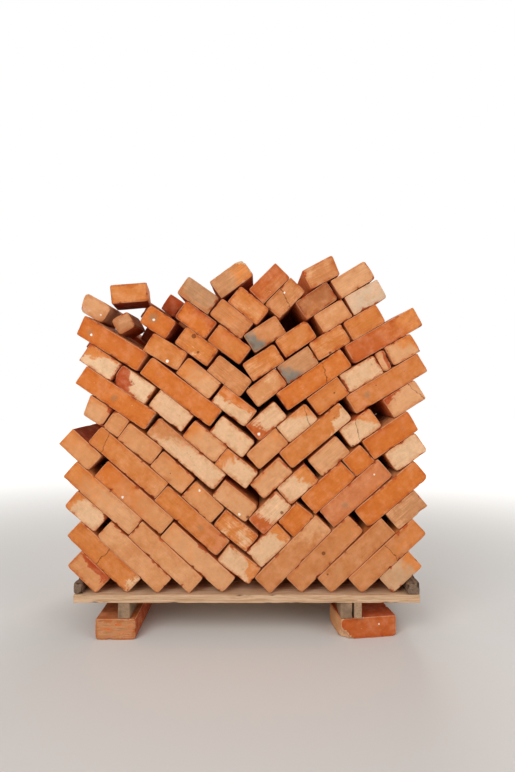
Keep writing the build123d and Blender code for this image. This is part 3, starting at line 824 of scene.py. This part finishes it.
SOOT = (156, 124, 92)
PALE_CLOUD = (240, 186, 148)
HOLE = (112, 52, 30)
POCK = (160, 96, 62)
DUST = (238, 194, 154)
DARK_SPECK = (142, 72, 44)
PALE_SPECK = (244, 214, 186)
HAIRLINE = (96, 40, 22)
WHITE_SPOT = (252, 240, 226)
# What the redness near an arris leaves of a colour's red, green and blue.
REDDENING = (0.84, 0.58, 0.40, 1.0)
RED_CLOUD = (0.90, 0.70, 0.52, 1.0)
# What sets a pattern apart from the others, and stretches the drag marks.
CLOUD_SHIFT = (731.0, 257.0, 913.0)
SPECK_SHIFT = (119.0, 83.0, 47.0)
DRAG_STRETCH = (0.07, 1.0, 0.5)
HALF_THICKNESS = 31.0


class Clay(Tree):
    """Fired clay: patterns that its layers share, and the layers."""

    def __init__(self):
        super().__init__("fired_clay", 0.9, 0.2)
        self.place = self.attribute("place")
        self.grain = self.attribute("grain")
        self.size = self.attribute("size")
        self.u, self.v, _ = self.parts(self.place)
        self.rim, self.pits, self.streaks = self.parts(self.attribute("wear"))
        self.soft, self.burn, self.rough = self.parts(self.attribute("touch"))
        self.edge = self.edge_distance(self.place, self.size)
        self.large = self.noise(self.grain, 46, 4, 0.62, 0.6)
        self.cloud = self.noise(self.vector("ADD", self.grain, CLOUD_SHIFT), 30, 3, 0.55)
        self.middling = self.noise(self.grain, 9, 4, 0.65)
        self.fine = self.noise(self.grain, 1.6, 3, 0.7)
        self.drag = self.noise(self.vector("MULTIPLY", self.grain, DRAG_STRETCH), 3.4, 4, 0.65)
        self.large_off = self.less(self.large, 0.5)
        self.cloud_off = self.less(self.cloud, 0.5)
        self.middling_off = self.less(self.middling, 0.5)
        self.fine_off = self.less(self.fine, 0.5)
        self.drag_off = self.less(self.drag, 0.5)

    def flashed(self):
        """The tone and the patch, which leans to one end or edge and has a ragged or soft border."""
        lean_u, lean_v, amount = self.parts(self.attribute("lean"))
        share_u, share_v, _ = self.parts(self.vector("DIVIDE", self.place, self.size))
        bias = self.times(self.less(share_u, 0.5), lean_u)
        bias = self.plus(bias, self.less(share_v, 0.5), lean_v)
        level = self.plus(amount, self.large_off, 2.2)
        level = self.plus(level, self.middling_off, 0.6)
        level = self.plus(level, self.drag_off, self.times(self.streaks, 1.2))
        level = self.plus(level, bias, 1.5)
        half = self.math("ADD", self.soft, 0.08)
        patch = self.rise(level, self.less(0.8, half), self.math("ADD", 0.8, half))
        return self.mix(patch, self.attribute("tone", "Color"), self.attribute("patch_tone", "Color"))

    def clouded(self, colour):
        """Clouds of paler and redder clay, light and dark within one tone, and drag marks."""
        pale_cloud = self.times(self.rise(self.cloud, 0.42, 0.76), self.plus(0.08, self.rough, 0.4))
        colour = self.mix(pale_cloud, colour, linear(PALE_CLOUD))
        colour = self.mix(self.rise(self.large, 0.52, 0.28, 0.0, 0.4), colour, RED_CLOUD, "MULTIPLY")
        shade = self.plus(1.0, self.large_off, 0.2)
        shade = self.plus(shade, self.cloud_off, 0.15)
        shade = self.plus(shade, self.middling_off, self.plus(0.16, self.rough, 0.3))
        shade = self.plus(shade, self.fine_off, 0.24)
        shade = self.plus(shade, self.drag_off, self.times(self.streaks, 0.6))
        return self.scaled(colour, shade)

    def edged(self, colour):
        """Redder towards the arrises, ragged rims, and pale dust on the worn arris."""
        wavering = self.plus(self.plus(self.edge, self.middling_off, 14.0), self.cloud_off, 30.0)
        reddened = self.times(self.rise(wavering, 0.0, 13.0, 1.0, 0.0), self.burn)
        colour = self.mix(reddened, colour, REDDENING, "MULTIPLY")
        ragged = self.plus(self.plus(self.edge, self.middling_off, 22.0), self.large_off, 18.0)
        near = self.rise(self.less(ragged, self.rim), -2.4, 1.6, 0.85, 0.0)
        has_rim = self.rise(self.rim, 0.0, 1.0)
        colour = self.mix(self.times(near, has_rim), colour, self.attribute("rim_tone", "Color"))
        arris = self.rise(self.plus(self.edge, self.middling_off, 5.0), 0.5, 2.4, 0.42, 0.0)
        return self.mix(arris, colour, linear(DUST))

    def broken(self):
        """Where the clay is broken."""
        cut = self.attribute("broken", "Fac")
        return self.rise(self.plus(cut, self.middling_off, 0.7), 0.35, 0.75)

    def inside(self):
        """The uneven tone of broken clay."""
        return self.scaled(self.attribute("inside_tone", "Color"), self.plus(1.05, self.middling_off, 1.6))

    def holes(self):
        distance, chance = self.cells(self.grain, 32)
        reach = self.times(self.less(self.math("ADD", chance, self.pits), 0.95), 0.5)
        reach = self.plus(reach, self.middling_off, 0.12)
        return self.rise(self.less(distance, reach), -0.02, 0.02, 1.0, 0.0)

    def pocks(self):
        """Shallow pits, mostly on the rougher faces."""
        distance, chance = self.cells(self.grain, 10)
        reach = self.times(self.less(self.plus(chance, self.rough, 0.3), 0.97), 0.8)
        return self.rise(self.less(distance, reach), -0.08, 0.04, 1.0, 0.0)

    def specked(self, colour):
        """Dark and pale specks."""
        distance, chance = self.cells(self.vector("ADD", self.grain, SPECK_SHIFT), 11)
        reach = self.times(self.less(chance, 0.9), 1.3)
        speck = self.rise(self.less(distance, reach), -0.05, 0.02, 1.0, 0.0)
        tone = self.mix(self.rise(self.large, 0.46, 0.54), linear(DARK_SPECK), linear(PALE_SPECK))
        return self.mix(self.times(speck, 0.6), colour, tone)

    def hairline(self):
        """One wandering crack on the faces that have it."""
        crack_u, tilt, _ = self.parts(self.attribute("crack"))
        wander = self.plus(self.times(self.large_off, 30.0), self.middling_off, 12.0)
        line = self.less(self.less(self.u, crack_u), wander)
        line = self.less(line, self.times(self.less(self.v, HALF_THICKNESS), tilt))
        return self.rise(self.math("ABSOLUTE", line), 0.4, 1.3, 1.0, 0.0)

    def round_spot(self, name, pattern, waver, low, high, strength):
        """One spot with a wavering border, where the attribute of this name says."""
        centre_u, centre_v, radius = self.parts(self.attribute(name))
        off_u = self.less(self.u, centre_u)
        off_v = self.less(self.v, centre_v)
        off = self.math("SQRT", self.plus(self.times(off_v, off_v), off_u, off_u))
        off = self.plus(off, pattern, waver)
        return self.rise(self.less(off, radius), low, high, strength, 0.0)

    def relief(self, broken, hole, pock, crack):
        """The height for the bump."""
        height = self.plus(self.fine, self.middling, self.plus(0.5, self.rough, 1.1))
        height = self.plus(height, self.drag, self.plus(0.2, self.streaks, 0.7))
        height = self.less(height, self.times(hole, 1.6))
        height = self.less(height, self.times(pock, 0.6))
        height = self.plus(height, crack, -0.8)
        return self.plus(height, self.times(broken, self.middling), 1.6)


def clay_material():
    """Fired clay, worn, chipped, cracked and spotted as each face's look says."""
    tree = Clay()
    broken, hole, pock, crack = tree.broken(), tree.holes(), tree.pocks(), tree.hairline()
    colour = tree.edged(tree.clouded(tree.flashed()))
    colour = tree.mix(tree.times(broken, 0.85), colour, tree.inside())
    colour = tree.mix(tree.times(hole, 0.75), colour, linear(HOLE))
    colour = tree.mix(tree.times(pock, 0.5), colour, linear(POCK))
    colour = tree.specked(colour)
    colour = tree.mix(tree.times(crack, 0.75), colour, linear(HAIRLINE))
    smudge = tree.round_spot("smudge", tree.cloud_off, 22.0, -10.0, 7.0, 0.6)
    colour = tree.mix(smudge, colour, linear(SOOT))
    spot = tree.round_spot("mark", tree.middling_off, 6.0, -0.9, 1.0, 1.0)
    colour = tree.mix(spot, colour, linear(WHITE_SPOT))
    roughness = tree.rise(tree.fine, 0.2, 0.8, 0.82, 0.96)
    return tree.finish(colour, tree.relief(broken, hole, pock, crack), roughness)


WOODS = {
    "sawn_wood": {"pale": (232, 198, 164), "grain": (196, 152, 114), "grey": (130, 106, 84)},
    "weathered_wood": {"pale": (168, 134, 104), "grain": (98, 70, 50), "grey": (112, 98, 86)},
}
KNOT = (104, 66, 40)
BROKEN_WOOD = (70, 48, 34)
GROWTH_STRETCH = (0.045, 1.0, 1.0)
FIBRE_STRETCH = (0.03, 1.0, 1.0)
KNOT_STRETCH = (0.5, 1.0, 1.0)


def wood_material(name):
    """Sawn softwood: long grain, darker growth lines, saw marks, knots and grey weathering."""
    tones = {part: linear(colour) for part, colour in WOODS[name].items()}
    tree = Tree(name, 0.85, 0.2)
    grain = tree.attribute("grain")
    edge = tree.edge_distance(tree.attribute("place"), tree.attribute("size"))
    broad = tree.noise(grain, 60, 3, 0.6)
    lines = tree.noise(tree.vector("MULTIPLY", grain, GROWTH_STRETCH), 5.5, 4, 0.65, 1.4)
    fibres = tree.noise(tree.vector("MULTIPLY", grain, FIBRE_STRETCH), 0.9, 3, 0.7)
    colour = tree.mix(tree.rise(lines, 0.4, 0.62), tones["pale"], tones["grain"])
    colour = tree.mix(tree.rise(fibres, 0.35, 0.7, 0.0, 0.4), colour, tones["grain"])
    distance, chance = tree.cells(tree.vector("MULTIPLY", grain, KNOT_STRETCH), 90)
    knot = tree.rise(tree.less(distance, tree.times(chance, 0.09)), -0.02, 0.03, 0.8, 0.0)
    colour = tree.mix(knot, colour, linear(KNOT))
    aged = tree.times(tree.rise(broad, 0.35, 0.65, 0.6, 1.0), tree.attribute("age", "Fac"))
    colour = tree.mix(aged, colour, tones["grey"])
    colour = tree.scaled(colour, tree.plus(0.85, fibres, 0.3))
    arris = tree.rise(tree.plus(edge, broad, 3.0), 1.5, 3.6, 0.3, 0.0)
    colour = tree.mix(arris, colour, tones["grain"])
    colour = tree.mix(tree.attribute("broken", "Fac"), colour, linear(BROKEN_WOOD))
    saw = tree.math("SINE", tree.plus(tree.times(tree.parts(grain)[0], 1.6), lines, 3.0))
    height = tree.plus(tree.times(fibres, 0.7), saw, 0.07)
    return tree.finish(colour, tree.plus(height, lines, 0.5))


# The pallet

TIMBER = {"inset": 0.15, "radius": 0.9, "edge": 0.7, "chips": 0.5, "deepest": 4.0, "uneven": 0.7}
OLD_TIMBER = {**TIMBER, "radius": 1.6, "edge": 2.0, "chips": 2.5, "deepest": 9.0, "uneven": 1.6}
BOARD_STEPS = (14.0, 6.0, 9.0)
RUNNER_STEPS = (12.0, 6.0, 5.0)
STOP_STEPS = (10.0, 4.5, 4.5)
# How far each piece has greyed, from 0 to 1.
BOARD_AGE = 0.12
RUNNER_AGES = {"left_runner": 1.0, "right_runner": 1.0, "split_runner": 0.55}
STOP_AGE = 0.6


def dress_timber(node, box, steps, material, seed, finish, age):
    """One board or bar."""
    pieces = Pieces()
    pieces.add(box, steps, np.random.default_rng(seed), finish, {}, {"age": [age] * 6})
    pieces.make(node, material)


# The object

clay = clay_material()
sawn = wood_material("sawn_wood")
weathered = wood_material("weathered_wood")

courses = sorted(name for name in frame["nodes"] if "_course_" in name)
for number, name in enumerate(courses):
    dress_course(name, LEFT if name.startswith("left") else RIGHT, clay, 100 + number)
dress_course("loose_level_brick", 0, clay, 201)
dress_course("loose_leaning_bat", LEFT, clay, 202)
dress_course("loose_tipped_bat", RIGHT, clay, 203)

# Its rust ends and its brown bed and top faces are painted shade.
streaked_face = face("tan", "burnt", 0.45, (0.1, 0), chips={"OU": 8}, ends="rust", beds="brown", soft=0.1)
streaked_face.update(streaks=3.2, burn=0.7)
# Its rust bed and top faces are painted shade.
chipped_face = face("burnt", "rust", 0.5, chips={"IL": 40, "IU": 12}, ends="sand", beds="rust")
chipped_face.update(inside="shell", mark=(118, 40, 2.6))
dress_support("support_front_left", level_box("support_front_left"), streaked_face, clay, 301)
dress_support("support_back_left", level_box("support_back_left"), face("orange"), clay, 302)
dress_support("support_back_right", level_box("support_back_right"), face("saturated"), clay, 303)
dress_support("support_bat", turned_box("support_bat"), chipped_face, clay, 304)

# Dark sheets between the front half and the back half: painted shade in the gaps.
for number, (middle, width, height) in enumerate(SHADE_SHEETS, 1):
    lodge_flake(f"flake_{number}", middle, width, height, clay, 340 + number)

for number in range(1, 6):
    board = f"deck_board_{number}"
    box = level_box(board)
    dress_timber(board, box, BOARD_STEPS, sawn, 400 + number, TIMBER, BOARD_AGE)
for number, (name, age) in enumerate(RUNNER_AGES.items()):
    box = level_box(name, "y")
    dress_timber(name, box, RUNNER_STEPS, sawn, 410 + number, TIMBER, age)
for number, name in enumerate(("left_stop_bar", "right_stop_bar")):
    box = level_box(name, "y")
    dress_timber(name, box, STOP_STEPS, weathered, 420 + number, OLD_TIMBER, STOP_AGE)


# The studio, in metres

FLOOR_HALF = 9.0
FLOOR_TONE = (222, 221, 219)
# Between these distances the floor runs into the white behind it.
FLOOR_NEAR = 0.9
FLOOR_FAR = 4.2
FLOOR_GLOW = 1.0
HORIZON_TONE = (240, 239, 237)
WORLD_LIGHT = 0.36
WORLD_TONE = (1.0, 0.98, 0.96, 1)
LAMP_TONE = (1.0, 0.985, 0.965)
LAMP_TARGET = (0, 0, 0.6)
# The camera looks level along +Y, from a little right of the deck's middle.
CAMERA_LENS = 24.02
CAMERA_SENSOR = 36.0
CAMERA_RIGHT = 0.032
CAMERA_DISTANCE = 1.528
CAMERA_HEIGHT = 0.754


def floor():
    """A wide pale floor under the object."""
    half = FLOOR_HALF
    mesh = bpy.data.meshes.new("floor")
    corners = [(-half, -half, 0), (half, -half, 0), (half, half, 0), (-half, half, 0)]
    mesh.from_pydata(corners, [], [(0, 1, 2, 3)])
    tree = Tree("floor", 0.9, 0.1)
    tree.shader.inputs["Base Color"].default_value = linear(FLOOR_TONE)
    # Far from the object, where the lamps don't reach, the camera still sees it pale.
    place = tree.nodes.new("ShaderNodeNewGeometry").outputs["Position"]
    radius = tree.vector("LENGTH", place, output="Value")
    seen = tree.nodes.new("ShaderNodeLightPath").outputs["Is Camera Ray"]
    glow = tree.times(tree.rise(radius, FLOOR_NEAR, FLOOR_FAR, 0.0, FLOOR_GLOW), seen)
    tree.shader.inputs["Emission Color"].default_value = linear(HORIZON_TONE)
    tree.put(tree.shader.inputs["Emission Strength"], glow)
    mesh.materials.append(tree.material)
    new_object("floor", mesh)


def background(nodes, colour, strength):
    """Even light of one colour."""
    node = nodes.new("ShaderNodeBackground")
    node.inputs["Color"].default_value = colour
    node.inputs["Strength"].default_value = strength
    return node.outputs[0]


def higher(nodes, links, a, b):
    """The higher of two values."""
    node = nodes.new("ShaderNodeMath")
    node.operation = "MAXIMUM"
    links.new(a, node.inputs[0])
    links.new(b, node.inputs[1])
    return node.outputs[0]


def world():
    """White where the camera, a reflection or glass sees it, and even soft light elsewhere."""
    studio = bpy.data.worlds.new("studio")
    bpy.context.scene.world = studio
    studio.use_nodes = True
    nodes = studio.node_tree.nodes
    links = studio.node_tree.links
    path = nodes.new("ShaderNodeLightPath").outputs
    seen = higher(nodes, links, path["Is Camera Ray"], path["Is Glossy Ray"])
    seen = higher(nodes, links, seen, path["Is Transmission Ray"])
    choose = nodes.new("ShaderNodeMixShader")
    links.new(seen, choose.inputs[0])
    links.new(background(nodes, WORLD_TONE, WORLD_LIGHT), choose.inputs[1])
    links.new(background(nodes, (1, 1, 1, 1), 1.0), choose.inputs[2])
    links.new(choose.outputs[0], nodes["World Output"].inputs["Surface"])


def lamp(name, place, width, watts):
    """A square soft box that looks at the object."""
    data = bpy.data.lights.new(name, "AREA")
    data.size = width
    data.energy = watts
    data.color = LAMP_TONE
    soft_box = new_object(name, data)
    soft_box.location = place
    way = np.array(LAMP_TARGET) - np.array(place)
    soft_box.rotation_euler = Vector(way.tolist()).to_track_quat("-Z", "Y").to_euler()


def camera():
    """Stands where the photograph was taken from."""
    low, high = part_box("deck_board_1")
    data = bpy.data.cameras.new("camera")
    data.lens = CAMERA_LENS
    data.sensor_width = CAMERA_SENSOR
    viewer = new_object("camera", data)
    viewer.location = ((low.x + high.x) / 2 + CAMERA_RIGHT, low.y - CAMERA_DISTANCE, CAMERA_HEIGHT)
    viewer.rotation_euler = (radians(90), 0, 0)
    bpy.context.scene.camera = viewer


floor()
world()
lamp("key", (-1.6, -3.0, 2.6), 2.2, 78)
lamp("fill", (2.4, -2.4, 1.6), 2.0, 30)
lamp("back", (0.5, 3.0, 2.4), 2.0, 60)
camera()
bpy.context.scene.view_settings.view_transform = "Standard"
